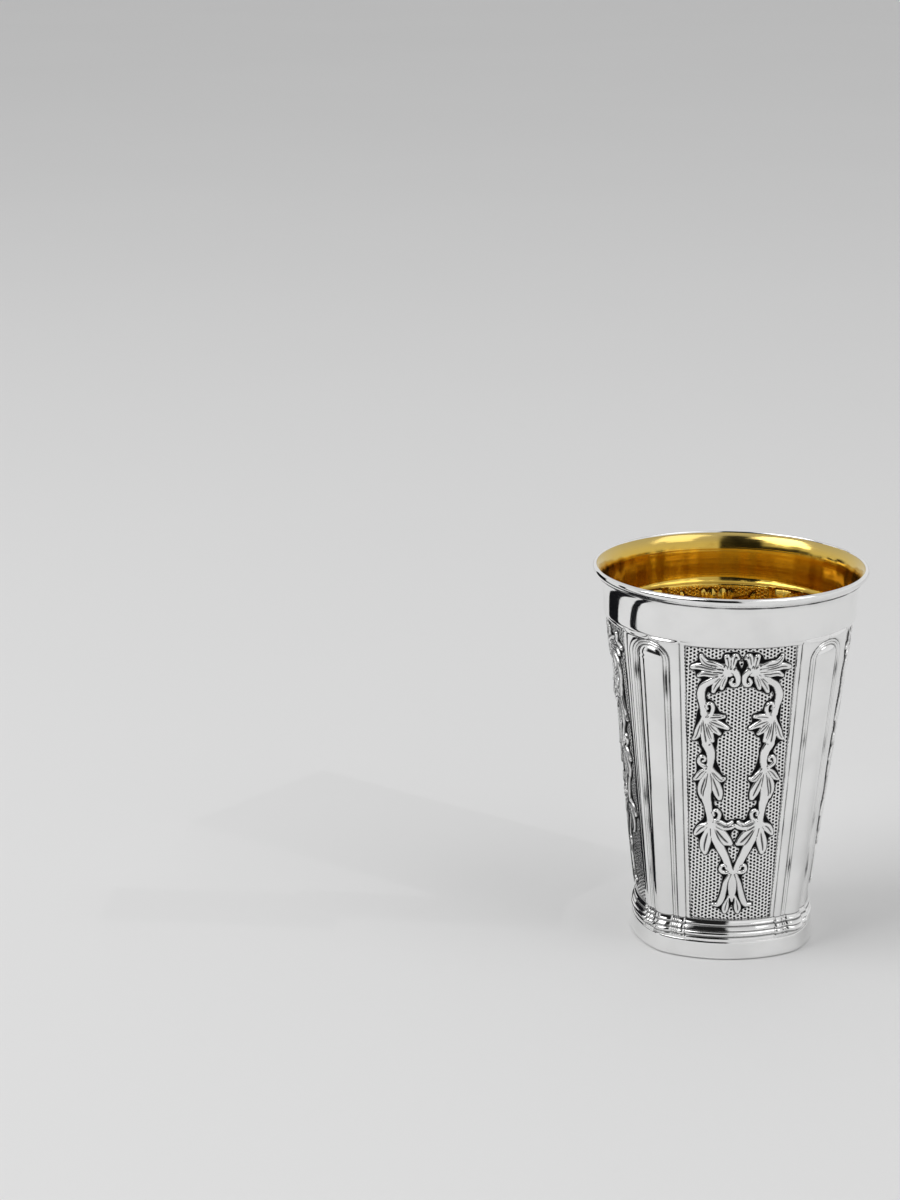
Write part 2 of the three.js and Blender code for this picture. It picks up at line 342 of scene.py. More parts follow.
FOURTH_LEAF = (
    Stroke(((5.5, 34.8), (5.2, 32.8), (4.8, 30.8)), (1.5, 3.2, 1.4), full=0.4),
    Stroke(((4.7, 35.0), (3.8, 35.7), (3.6, 36.9), (4.3, 37.7), (5.1, 37.2), (4.8, 36.4)),
           (0.8, 0.8, 0.75, 0.7, 0.6, 0.5)),
    Stroke(((5.3, 34.5), (3.8, 34.6), (2.1, 33.9), (0.7, 34.8)), (1.3, 1.3, 1.1, 0.6), True),
    Stroke(((4.4, 34.1), (2.6, 33.4), (0.9, 33.5), (0.1, 34.0)), (1.3, 1.2, 1.0, 0.7)),
    Stroke(((5.0, 33.9), (3.6, 32.0), (2.1, 30.3), (0.9, 29.4)), (1.9, 2.5, 2.2, 1.1), True),
    Stroke(((6.0, 34.1), (7.5, 33.2), (8.3, 32.2), (8.8, 31.4)), (1.5, 1.7, 1.4, 0.9), True),
    Stroke(((5.8, 33.6), (6.3, 30.6), (6.6, 28.2), (6.5, 26.8)), (1.7, 2.2, 1.8, 0.9), True),
    Stroke(((5.2, 33.6), (4.2, 30.8), (3.2, 28.6), (2.0, 26.0), (1.1, 23.6), (0.4, 22.0)),
           (1.6, 1.8, 1.7, 1.5, 1.4, 0.9)),
    Stroke(((0.8, 22.1), (2.0, 21.9), (2.9, 22.5), (2.7, 23.6), (1.8, 23.7), (1.6, 22.9)),
           (0.7, 0.8, 0.75, 0.65, 0.6, 0.5)),
)
PENDANT = (
    Stroke(((0.0, 21.7), (0.0, 19.4), (0.0, 17.0), (0.0, 14.6)), (0.4, 1.55, 1.5, 0.5)),
    Stroke(((0.8, 21.3), (1.5, 19.4), (1.85, 17.2), (2.35, 15.2), (3.2, 13.6), (4.4, 13.6)),
           (0.6, 0.85, 1.05, 1.15, 1.0, 0.6)),
    Stroke(((0.75, 15.8), (1.15, 14.2), (1.45, 12.8), (1.5, 11.7)), (0.7, 1.1, 1.4, 0.8), True),
)
# Small punched holes in the leaves: across, up and radius.
EYELETS = ((3.35, 75.5, 0.3), (1.25, 75.6, 0.25), (1.45, 69.7, 0.34), (7.0, 63.4, 0.22),
           (7.9, 50.3, 0.22), (4.4, 36.9, 0.22), (2.2, 23.0, 0.22), (0.6, 35.3, 0.2))


@dataclass(frozen=True)
class LeafWreath:
    """The chased wreath on one panel, and the punched ground round it, in millimetres."""

    strokes: tuple[Stroke, ...] = TOP_LEAF + SECOND_LEAF + THIRD_LEAF + FOURTH_LEAF + PENDANT
    swell: float = 1.26
    root_width: float = 0.6
    blunt: float = 0.46
    root: float = 0.2
    rise: float = 0.42
    vein_depth: float = 0.2
    seam_depth: float = 0.2
    reach: float = 2.2
    far: float = 9.0
    gathering: float = 1.7
    column_gap: float = 0.83
    row_gap: float = 0.87
    pit_radius: float = 0.29
    pit_depth: float = 0.12

    def half_widths(self, stroke: Stroke, half: Array) -> Array:
        """Swollen half widths of a stroke; a veined lobe has a narrow root and a blunt tip."""
        half = half * self.swell
        if not stroke.vein:
            return half
        widening = step(np.linspace(0, 1, len(half)), 0, 0.5)
        return np.maximum(half, self.blunt) * (self.root_width + (1 - self.root_width) * widening)

    def measure(self, line: Array, half: Array, place: Array) -> tuple[Array, Array, Array]:
        """Measures one stroke from points near it.

        Args:
            line: The stroke's centre line.
            half: Its half width at each point of the line.
            place: The points, across and up.

        Returns:
            The distance outside the stroke's edge, the distance from its centre line as a share of
            its half width there, and how far along the stroke that is.
        """
        gap = np.full(len(place), self.far)
        best = np.full(len(place), self.far)
        share = np.zeros(len(place))
        for k, (a, b) in enumerate(zip(line, line[1:])):
            span = b - a
            t = np.clip((place - a) @ span / max(span @ span, 1e-9), 0, 1)
            away = np.linalg.norm(place - a - t[:, None] * span, axis=1)
            width = half[k] + (half[k + 1] - half[k]) * t
            closer = away - width < gap
            gap = np.where(closer, away - width, gap)
            best = np.where(closer, away / width, best)
            share = np.where(closer, (k + t) / (len(half) - 1), share)
        return gap, best, share

    def trace(self, across: Array, up: Array) -> tuple[Array, Array, Array, Array, Array]:
        """Measures every stroke from every point.

        Args:
            across: Distance from the panel's middle line.
            up: Height.

        Returns:
            The distance outside the leaf's edge, the same distance made shorter where strokes crowd
            round, the roundness of the lobes, the vein mask and the mask of the lines between lobes.
        """
        edge = np.full(across.shape, self.far)
        crowd = np.full(across.shape, math.exp(-self.far * self.gathering))
        crown, vein, first, second = (np.zeros(across.shape) for _ in range(4))
        for stroke in self.strokes:
            line, half = stroke.spine()
            half = self.half_widths(stroke, half)
            low, high = line.min(0) - self.reach - half.max(), line.max(0) + self.reach + half.max()
            near = (across > low[0]) & (across < high[0]) & (up > low[1]) & (up < high[1])
            gap, best, share = self.measure(line, half, np.stack([across[near], up[near]], -1))
            edge[near] = np.minimum(edge[near], gap)
            crowd[near] += np.exp(-self.gathering * np.clip(gap, -0.3, None))
            round_top = stroke.full * ridge(best, 0.5)
            crown[near] = np.maximum(crown[near], round_top)
            if stroke.full == 1.0:
                along = round_top * ((share > 0.02) & (share < 0.98))
                second[near] = np.maximum(second[near], np.minimum(first[near], along))
                first[near] = np.maximum(first[near], along)
            if stroke.vein:
                line_mask = cut(best, 0.2) * step(share, 0.1, 0.25) * (1 - step(share, 0.8, 0.95))
                on_top = round_top >= crown[near] - 1e-6
                vein[near] = np.where(on_top, np.maximum(vein[near], line_mask), vein[near])
        seam = cut(first - second, 0.19) * step(second, 0.1, 0.3) * (1 - step(first, 0.93, 0.99))
        return edge, -np.log(crowd) / self.gathering, crown, vein, seam

    def punching(self, across: Array, up: Array, seed: int) -> tuple[Array, Array]:
        """Where each point lies in the lattice of punched pits.

        Args:
            across: Signed distance from the panel's middle line.
            up: Height.
            seed: The panel's number, which shifts and bends the lattice.

        Returns:
            Its place in columns and in rows.
        """
        column = across / self.column_gap + 0.1 * wander(up * 1.3, seed) + 40.0 + 0.37 * seed
        row = up / self.row_gap + 0.12 * wander(across * 1.7, seed + 2) + 0.61 * seed
        return column, row

    def pits(self, column: Array, row: Array) -> Array:
        """Distance to the nearest pit.

        Args:
            column: Place in columns; odd columns stand half a row lower.
            row: Place in rows.

        Returns:
            The distance in millimetres.
        """
        line = np.round(column)
        stagger = row + 0.5 * np.mod(line, 2)
        return np.hypot((column - line) * self.column_gap, (stagger - np.round(stagger)) * self.row_gap)

    def carve(self, across: Array, up: Array, seed: int) -> tuple[Array, Marks]:
        """Relief and finish of the panel.

        Args:
            across: Signed distance from the panel's middle line.
            up: Height.
            seed: The panel's number, which changes the punched ground.

        Returns:
            The rise above the ground in millimetres, and the marks that the silver finish reads.
        """
        sway = 0.09 * np.sin(up * 0.63 + np.sign(across) + seed) * step(np.abs(across), 0.5, 2.0)
        edge, crowded, crown, vein, seam = self.trace(np.abs(across) + sway, up)
        eyelet = np.zeros(across.shape)
        for x, z, radius in EYELETS:
            away = np.hypot(np.abs(across) - x, up - z)
            eyelet = np.maximum(eyelet, 1 - step(away, radius * 0.5, radius))
        leaf = step(-edge, -0.08, 0.14)
        shade_edge = 0.25 + 0.22 * wander(across * 0.9, seed) * wander(up * 0.7, seed + 1)
        halo = 1 - step(crowded, shade_edge - 0.12, shade_edge + 0.12)
        column, row = self.punching(across, up, seed)
        hole = 1 - step(self.pits(column, row), self.pit_radius * 0.8, self.pit_radius * 1.3)
        ground = -self.pit_depth * hole * (1 - halo) - 0.12 * halo
        lines = self.vein_depth * vein + self.seam_depth * seam + 0.3 * eyelet
        form = self.root + self.rise * crown - lines
        rise = ground * (1 - leaf) + form * leaf
        # Painted shade: the lobes' sloping edges and the valleys between them are darkened; the veins, seams
        # and eyelets are chased lines.
        painted_valley_shade = 1 - step(crown, 0.34, 0.6)
        on_leaf = np.clip(0.5 * painted_valley_shade + 0.9 * vein + 0.95 * seam + eyelet, 0, 1)
        oxide_and_shade = halo * (1 - leaf) + on_leaf * leaf
        return rise, {"oxide_and_shade": oxide_and_shade, "column": column, "row": row, "punched": (1 - leaf) * (1 - halo)}


# ------------------------------------------------------------------ mesh making


def start_clean() -> None:
    """Deselects everything, so that the next operator touches only what it adds."""
    bpy.ops.object.select_all(action="DESELECT")


def mark(piece: bpy.types.Object, name: str, values: Array) -> None:
    """Stores one number for each corner point of a piece's mesh."""
    layer = piece.data.attributes.new(name, "FLOAT", "POINT")
    layer.data.foreach_set("value", np.ascontiguousarray(values, dtype=np.float32))


def wrapped_sheet(
    name: str, columns: Array, rows: Array, place: Place, smooth: float
) -> bpy.types.Object:
    """Wraps a grid primitive round a form and closes it.

    Args:
        name: The piece's name.
        columns: Value of each column, usually an azimuth.
        rows: Value of each row, an index along the piece's section.
        place: Gives points in metres and the finish's marks for columns and rows of those values.
        smooth: Edges sharper than this angle stay sharp, in degrees.

    Returns:
        The closed piece, with its marks stored on its points.
    """
    start_clean()
    bpy.ops.mesh.primitive_grid_add(
        x_subdivisions=len(columns) - 1, y_subdivisions=len(rows) - 1, size=2
    )
    piece = bpy.context.object
    piece.name = piece.data.name = name
    flat = np.empty(len(piece.data.vertices) * 3)
    piece.data.vertices.foreach_get("co", flat)
    flat = flat.reshape(-1, 3)
    column = np.rint((flat[:, 0] + 1) / 2 * (len(columns) - 1)).astype(int)
    row = np.rint((flat[:, 1] + 1) / 2 * (len(rows) - 1)).astype(int)
    points, marks = place(columns[column], rows[row])
    piece.data.vertices.foreach_set("co", points.ravel())
    for kind, values in marks.items():
        mark(piece, kind, values)
    bpy.ops.object.mode_set(mode="EDIT")
    bpy.ops.mesh.select_all(action="SELECT")
    bpy.ops.mesh.remove_doubles(threshold=1e-6)
    bpy.ops.mesh.fill_holes(sides=0)
    bpy.ops.mesh.select_all(action="SELECT")
    bpy.ops.mesh.normals_make_consistent(inside=False)
    bpy.ops.object.mode_set(mode="OBJECT")
    bpy.ops.object.shade_smooth_by_angle(angle=math.radians(smooth))
    return piece


def finish_piece(
    piece: bpy.types.Object, material: bpy.types.Material
) -> bpy.types.Object:
    """Dresses a piece, makes it ride on the cup and stand for the cup's solid.

    Args:
        piece: The piece.
        material: Its finish.

    Returns:
        The same piece.
    """
    piece.data.materials.clear()
    piece.data.materials.append(material)
    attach(piece, BODY)
    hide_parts(CUP_NODE)
    return piece


def front_and_back(row: Array) -> tuple[Array, Array]:
    """Whether each row is on the sheet's back, and its height or place without BEHIND."""
    behind = row >= BEHIND
    return behind, np.where(behind, row - BEHIND, row)


def profile_at(profile: tuple[tuple[float, ...], ...], index: Array, item: int) -> Array:
    """Value of one item of a section's points at a place along it."""
    return np.interp(index, np.arange(len(profile)), [point[item] for point in profile])


# ------------------------------------------------------------------ shader maths


class Flow:
    """A node's output that Python arithmetic adds Math nodes to."""

    def __init__(self, recipe: "Recipe", socket: bpy.types.NodeSocket) -> None:
        """Wraps one socket of a recipe."""
        self.recipe = recipe
        self.socket = socket

    def math(self, operation: str, *others: Any) -> "Flow":
        """Adds a Math node with this value first."""
        inputs = {k: v for k, v in enumerate((self, *others))}
        return self.recipe.node("ShaderNodeMath", {"operation": operation}, inputs, 0)

    def __add__(self, other: Any) -> "Flow":
        """This plus other."""
        return self.math("ADD", other)

    __radd__ = __add__

    def __mul__(self, other: Any) -> "Flow":
        """This times other."""
        return self.math("MULTIPLY", other)

    __rmul__ = __mul__

    def __sub__(self, other: Any) -> "Flow":
        """This less other."""
        return self.math("SUBTRACT", other)

    def __rsub__(self, other: Any) -> "Flow":
        """Other less this."""
        return self * -1.0 + other

    def __pow__(self, other: Any) -> "Flow":
        """This to a power."""
        return self.math("POWER", other)

    def to_middle(self) -> "Flow":
        """Signed distance to the nearest whole number."""
        return self - self.math("ROUND")

    def within(self, low: float, high: float) -> "Flow":
        """Smooth rise from 0 at low to 1 at high."""
        settings = {"interpolation_type": "SMOOTHSTEP"}
        inputs = {"Value": self, "From Min": low, "From Max": high}
        return self.recipe.node("ShaderNodeMapRange", settings, inputs, 0)


class Recipe:
    """A material or world being mixed from nodes."""

    def __init__(self, tree: bpy.types.NodeTree) -> None:
        """Starts with an empty tree."""
        self.tree = tree
        tree.nodes.clear()

    def node(self, kind: str, settings: dict[str, Any], inputs: dict[Any, Any], out: Any) -> Flow:
        """Adds one node.

        Args:
            kind: The node's type.
            settings: Properties set before the inputs.
            inputs: Values or flows for its sockets, by name or number.
            out: Name or number of the wanted output.

        Returns:
            That output.
        """
        made = self.tree.nodes.new(kind)
        for key, value in settings.items():
            setattr(made, key, value)
        for key, value in inputs.items():
            if isinstance(value, Flow):
                self.tree.links.new(value.socket, made.inputs[key])
            else:
                made.inputs[key].default_value = value
        return Flow(self, made.outputs[out])

    def place(self, stretch: Triple = (1.0, 1.0, 1.0)) -> Flow:
        """Object coordinates, stretched along the axes."""
        point = self.node("ShaderNodeTexCoord", {}, {}, "Object")
        return self.node("ShaderNodeMapping", {}, {"Vector": point, "Scale": stretch}, 0)

    def noise(self, scale: float, detail: float = 2.0, stretch: Triple = (1.0, 1.0, 1.0)) -> Flow:
        """Noise from 0 to 1 with so many lumps to the metre."""
        inputs = {"Vector": self.place(stretch), "Scale": scale, "Detail": detail}
        return self.node("ShaderNodeTexNoise", {}, inputs, 0)

    def stored(self, name: str) -> Flow:
        """A number stored on the mesh."""
        return self.node("ShaderNodeAttribute", {"attribute_name": name}, {}, "Fac")

    def mix(self, share: Flow, first: Any, second: Any) -> Flow:
        """Colour from first to second."""
        return self.node("ShaderNodeMix", {"data_type": "RGBA"}, {0: share, 6: first, 7: second}, 2)

    def pits(self, wreath: "LeafWreath") -> Flow:
        """Draws the punched pits from the lattice stored on the mesh.

        Args:
            wreath: Holds the pits' size and spacing.

        Returns:
            Mask that is 1 in the middle of each pit.
        """
        column, row = self.stored("column"), self.stored("row")
        stagger = row + 0.5 * column.math("ROUND").math("FLOORED_MODULO", 2.0)
        across, up = column.to_middle() * wreath.column_gap, stagger.to_middle() * wreath.row_gap
        away = (across * across + up * up) ** 0.5
        hole = 1 - away.within(wreath.pit_radius * 0.85, wreath.pit_radius * 1.15)
        return hole * self.stored("punched").within(0.3, 0.8)

    def bump(self, height: Flow, depth: float) -> Flow:
        """Normal of a fine surface whose height is from 0 to 1, so many metres deep."""
        inputs = {"Height": height, "Distance": depth, "Strength": 1.0}
        return self.node("ShaderNodeBump", {}, inputs, 0)


def new_material(name: str) -> tuple[bpy.types.Material, Recipe]:
    """Makes an empty material.

    Args:
        name: Its name.

    Returns:
        The material and the recipe that fills it.
    """
    material = bpy.data.materials.new(name)
    material.use_nodes = True
    return material, Recipe(material.node_tree)


def shade(recipe: Recipe, inputs: dict[str, Any]) -> None:
    """Ends a recipe with one Principled shader.

    Args:
        recipe: The material's recipe.
        inputs: Values or flows for the shader's sockets, by name.
    """
    surface = recipe.node("ShaderNodeBsdfPrincipled", {}, inputs, 0)
    output = recipe.tree.nodes.new("ShaderNodeOutputMaterial")
    recipe.tree.links.new(surface.socket, output.inputs["Surface"])


@dataclass(frozen=True)
class SilverFinish:
    """Hand-polished silver with black oxide left in its hollows and painted shade and painted dark
    reflections from the stored marks; ripple and rub are depths in metres.
    """

    name: str
    bright: Colour = (0.955, 0.955, 0.95, 1)
    soft: Colour = (0.88, 0.88, 0.875, 1)
    oxide_and_shade: Colour = (0.012, 0.012, 0.013, 1)
    polish: float = 0.05
    satin: float = 0.16
    oxide_rough: float = 0.5
    ripple: float = 0.00002
    rub: float = 0.000003
    pit_rubs: float = 12.0
    punched: LeafWreath | None = None

    def material(self) -> bpy.types.Material:
        """Mixes the finish from stored oxide with painted shade and painted reflections, punched pits,
        cloudy polish, rub marks and ripples.

        Returns:
            The material.
        """
        material, recipe = new_material(self.name)
        oxide_and_shade = recipe.stored("oxide_and_shade")
        pits = recipe.pits(self.punched) if self.punched else None
        if pits:
            oxide_and_shade = oxide_and_shade.math("MAXIMUM", pits)
        cloud = recipe.noise(90.0, 4.0).within(0.35, 0.7)
        rub = recipe.noise(2600.0, 3.0, (1.0, 1.0, 0.12))
        # Mask of the stored oxide, painted shade and painted reflections, with the pits.
        grime_and_shade = (oxide_and_shade * (0.8 + 0.4 * recipe.noise(1800.0, 3.0))).within(0.05, 0.95)
        colour = recipe.mix(cloud, self.bright, self.soft)
        colour = recipe.mix(grime_and_shade, colour, self.oxide_and_shade)
        rough = self.polish + (self.satin - self.polish) * cloud * rub + self.oxide_rough * grime_and_shade
        height = recipe.noise(160.0, 2.0) * (self.ripple / self.rub) + rub
        if pits:
            height = height - pits * self.pit_rubs
        shade(recipe, {"Base Color": colour, "Roughness": rough, "Metallic": 1.0,
                       "Normal": recipe.bump(height, self.rub)})
        return material


@dataclass(frozen=True)
class Gilding:
    """Gold wash, paler near the lip, with spin lines round it and brown stain low down."""

    name: str
    height: float
    deep: Colour = (0.77, 0.525, 0.105, 1)
    pale: Colour = (0.68, 0.52, 0.19, 1)
    stain: Colour = (0.34, 0.16, 0.03, 1)
    oxide_and_shade: Colour = (0.10, 0.045, 0.008, 1)
    polish: float = 0.08
    satin: float = 0.2
    pale_from: float = 0.965
    spin_depth: float = 0.00003
    bump_spins: float = 5.0
    punched: LeafWreath = LeafWreath()

    def material(self) -> bpy.types.Material:
        """Mixes the gilding from height, spin lines, stains, bumps behind the pits with painted shade on
        them, and the stored marks: painted shade on the reversed relief and a dark line at the ledge.

        Returns:
            The material.
        """
        material, recipe = new_material(self.name)
        up = recipe.node("ShaderNodeSeparateXYZ", {}, {0: recipe.place()}, "Z")
        near_lip = up.within(self.height * self.pale_from, self.height)
        spin = recipe.noise(240.0, 3.0, (0.04, 0.04, 10.0))
        stain = (recipe.noise(120.0, 4.0) * (1 - near_lip)).within(0.5, 0.85)
        oxide_and_shade = recipe.stored("oxide_and_shade").within(0.1, 1.0)
        bumps = recipe.pits(self.punched)
        # Painted shade on the raised bumps behind the pits.
        oxide_and_shade = oxide_and_shade.math("MAXIMUM", bumps * 0.6)
        colour = recipe.mix(near_lip, self.deep, self.pale)
        colour = recipe.mix(stain * 0.7, colour, self.stain)
        colour = recipe.mix(oxide_and_shade * 0.8, colour, self.oxide_and_shade)
        rough = self.polish + (self.satin - self.polish) * spin + 0.2 * oxide_and_shade
        height = spin + bumps * self.bump_spins
        shade(recipe, {"Base Color": colour, "Roughness": rough, "Metallic": 1.0,
                       "Normal": recipe.bump(height, self.spin_depth)})
        return material


# ------------------------------------------------------------------ the cup's pieces


@dataclass
class WrappedPiece(ABC):
    """A piece wrapped from a sheet; each kind says its columns, rows and where each pair lands."""

    name: str
    plan: CupPlan
    slot: ClassVar[Slot] = Slot.SILVER
    smooth: ClassVar[float] = 60.0
    columns_step: ClassVar[float] = 0.75

    def columns(self) -> Array:
        """Azimuths of even columns all round the cup."""
        return stretches((-QUARTER / 2, 3.5 * QUARTER, self.columns_step))

    @abstractmethod
    def rows(self) -> Array:
        """Heights, or places along a section, with BEHIND added down the back."""

    @abstractmethod
    def place(self, azimuth: Array, row: Array) -> tuple[Array, Marks]:
        """Shapes the piece.

        Args:
            azimuth: A column's value, in degrees.
            row: A row's value.

        Returns:
            Points in metres and the finish's marks.
        """

    def build(self, material: bpy.types.Material) -> bpy.types.Object:
        """Wraps the piece and dresses it.

        Args:
            material: Its finish.

        Returns:
            The finished piece.
        """
        piece = wrapped_sheet(self.name, self.columns(), self.rows(), self.place, self.smooth)
        return finish_piece(piece, material)


@dataclass
class BandAndLip:
    """The plain band above the panels, flared to a rolled rim."""

    plan: CupPlan
    columns: int = 240
    engraved_line: float = 87.7
    # Heights and radii down the inner face, which the lining covers.
    inside: tuple[tuple[float, float], ...] = (
        (89.3, 31.0), (88.4, 30.8), (86.0, 29.95), (82.0, 29.15), (78.9, 28.95))

    def outside(self) -> tuple[tuple[float, float], ...]:
        """Draws the outer face and the rim.

        Returns:
            Heights and radii from the band's lower edge to the top of the rim.
        """
        band, lip, top = self.plan.band_radius, self.plan.lip_radius, self.plan.height
        bottom, line = self.plan.band_bottom, self.engraved_line
        lower_edge = ((bottom - 0.25, band - 0.5), (bottom - 0.12, band - 0.2), (bottom + 0.15, band))
        face = ((bottom + 0.5, band + 0.06), (81.0, band + 0.1), (84.0, band + 0.32), (86.2, band + 0.8),
                (87.0, band + 1.15), (line - 0.2, band + 1.5), (line, band + 1.52), (line + 0.2, band + 1.8))
        rim = ((88.4, lip - 0.36), (88.8, lip - 0.08), (89.2, lip), (89.6, lip - 0.12), (89.88, lip - 0.4),
               (top, lip - 0.65), (89.92, lip - 0.88), (89.7, lip - 1.0))
        return (*lower_edge, *face, *rim)

    def build(self, material: bpy.types.Material) -> bpy.types.Object:
        """Raises the section ring by ring from a circle, closes it and smooths it.

        Args:
            material: The band's finish.

        Returns:
            The finished band.
        """
        section = (*self.outside(), *self.inside)
        start_clean()
        z, radius = section[0]
        bpy.ops.mesh.primitive_circle_add(
            vertices=self.columns, radius=radius * MM, location=(0, 0, z * MM)
        )
        piece = bpy.context.object
        piece.name = piece.data.name = "band_and_lip"
        bpy.ops.object.transform_apply(location=True, rotation=True, scale=True)
        bpy.ops.object.mode_set(mode="EDIT")
        bpy.ops.mesh.select_all(action="SELECT")
        for (low, old), (high, new) in zip(section, section[1:]):
            lift, growth = (0, 0, (high - low) * MM), (new / old, new / old, 1)
            bpy.ops.mesh.extrude_region_move(TRANSFORM_OT_translate={"value": lift})
            bpy.ops.transform.resize(value=growth, center_override=(0, 0, high * MM))
        bpy.ops.mesh.select_all(action="DESELECT")
        bpy.ops.mesh.select_non_manifold(extend=False)
        bpy.ops.mesh.bridge_edge_loops()
        bpy.ops.mesh.select_all(action="SELECT")
        bpy.ops.mesh.normals_make_consistent(inside=False)
        bpy.ops.object.mode_set(mode="OBJECT")
        rounding = piece.modifiers.new("rounding", "SUBSURF")
        rounding.levels = rounding.render_levels = 1
        bpy.ops.object.modifier_apply(modifier=rounding.name)
        bpy.ops.object.shade_smooth()
        flat = np.empty(len(piece.data.vertices) * 3)
        piece.data.vertices.foreach_get("co", flat)
        up, turn = flat[2::3] / MM, np.arctan2(flat[0::3], -flat[1::3])
        line = cut(up - self.engraved_line, 0.24) * (0.9 + 0.35 * wander(10 * turn, 1.0))
        mark(piece, "oxide_and_shade", line + 0.7 * cut(up - self.plan.band_bottom + 0.2, 0.12))
        return finish_piece(piece, material)


@dataclass
class FlutedWall(WrappedPiece):
    """The body's wall with its four flute groups, frames and base mouldings."""

    group: FluteGroup
    smooth: ClassVar[float] = 50.0
    fine_step: float = 0.36
    panel_step: float = 1.9
    recess: float = 0.46
    thickness: float = 0.6
    ledge: float = 77.75
    moulding_square: float = 0.95
    # Section of the base mouldings, height and radius: three beads, each under a sloping cove.
    mouldings: tuple[tuple[float, float], ...] = (
        (4.2, 21.2), (4.42, 21.12), (4.6, 21.0), (5.4, 20.5), (5.55, 20.62), (5.75, 20.98),
        (6.1, 21.15), (6.45, 21.0), (6.65, 20.75), (6.8, 20.55), (6.95, 20.78), (7.2, 20.96),
        (7.4, 20.86), (8.1, 20.4), (8.2, 20.44), (8.4, 20.58), (8.6, 20.5), (8.75, 20.36),
        (9.5, 20.16), (9.7, 20.3))
    # Painted dark reflections in the coves of the base mouldings: height, half width and darkness.
    painted_cove_reflections: tuple[Triple, ...] = (
        (5.35, 0.2, 0.6), (6.8, 0.12, 0.85), (8.0, 0.2, 0.7), (9.45, 0.14, 0.7))

    def columns(self) -> Array:
        """Spaces the columns.

        Returns:
            Their azimuths, fine over the groups and coarse over the panels.
        """
        reach = self.group.frame_end + 0.4
        side = QUARTER / 2 - reach
        one = stretches((-side, side, self.panel_step), (side, side + 2 * reach, self.fine_step))[:-1]
        return np.concatenate([one + QUARTER * k for k in range(4)] + [[one[0] + 4 * QUARTER]])

    def rows(self) -> Array:
        """Spaces the rows: fine over the mouldings and arches, coarse between them.

        Returns:
            Heights up the outside, then down the inside with BEHIND added.
        """
        plan = self.plan
        bottom, top, arches = plan.foot_band_top - 0.1, plan.band_bottom + 0.1, 72.6
        up = stretches((bottom, 10.0, 0.09), (10.0, arches, 3.1), (arches, top, 0.13))
        down = BEHIND + stretches(
            (top, arches, 0.45), (arches, plan.moulding_top, 21.0), (plan.moulding_top, bottom, 1.8))
        return np.concatenate([up, down, up[:1]])

    def moulding_radius(self, z: Array) -> Array:
        """Mid-side radius of the base mouldings."""
        heights, radii = zip(*self.mouldings)
        return np.interp(z, heights, radii)

    def place(self, azimuth: Array, row: Array) -> tuple[Array, Marks]:
        """Shapes the mouldings, flutes and frames, recessed behind the panels.

        Args:
            azimuth: Degrees round the cup.
            row: Height up the outside, or down the inside with BEHIND added.

        Returns:
            Points in metres and the finish's marks.
        """
        plan, group = self.plan, self.group
        behind, z = front_and_back(row)
        turn = plan.from_corner(azimuth)
        rise, dark = group.shape(turn, z)
        over_panel = step(turn, group.frame_end - 0.12, group.frame_end + 0.15)
        in_panel = over_panel * step(z, 9.55, 9.75) * (1 - step(z, self.ledge - 0.12, self.ledge + 0.05))
        rise = np.where(in_panel > 0, rise * (1 - in_panel) - self.recess * in_panel, rise)
        fade = 1 - step(z, plan.flute_top + 0.2, plan.band_bottom)
        base = step(z, plan.foot_band_top + 0.2, plan.moulding_top)
        relief = rise * (1.15 - 0.15 * base) * fade
        relief = relief * step(z, plan.foot_band_top - 0.2, plan.foot_band_top + 0.9)
        square = plan.body_square(z)
        square = np.where(z < plan.moulding_top, self.moulding_square, square) * fade
        radius = np.where(z < plan.moulding_top, self.moulding_radius(z), plan.body_radius(z))
        top = step(z, plan.flute_top - 0.1, plan.band_bottom - 0.1)
        growth = (plan.band_radius - 0.12 - plan.body_top_radius) * top
        outer = (radius + growth) * plan.plan(azimuth, square) + relief
        inner = plan.ground(azimuth, z) + growth + relief * (1 - over_panel) - self.thickness
        streak = 0.85 + 0.6 * wander(z * 0.3, 1.0) * wander(azimuth * 0.11, 2.0)
        smudge = 0.65 * cut(turn - group.lobe_reach - 1.4, 1.3) * (1 - step(z, 70.0, 73.0))
        smudge = smudge * step(wander(z * 0.16 + azimuth * 0.02, 3.0), 0.1, 0.8)
        oxide_and_shade = (dark * streak + smudge) * fade * step(z, 9.0, 10.5)
        # Painted dark reflection bands in the mouldings' coves.
        for middle, half, depth in self.painted_cove_reflections:
            oxide_and_shade = np.maximum(oxide_and_shade, depth * cut(z - middle, half))
        # The wall behind the panels is painted black as painted shade for any gap round them.
        oxide_and_shade = np.maximum(oxide_and_shade, in_panel)
        oxide_and_shade = np.maximum(oxide_and_shade, 0.8 * cut(z - plan.flute_top, 0.16) * over_panel)
        points = plan.point(azimuth, np.where(behind, inner, outer), z)
        return points, {"oxide_and_shade": np.where(behind, 0, oxide_and_shade)}


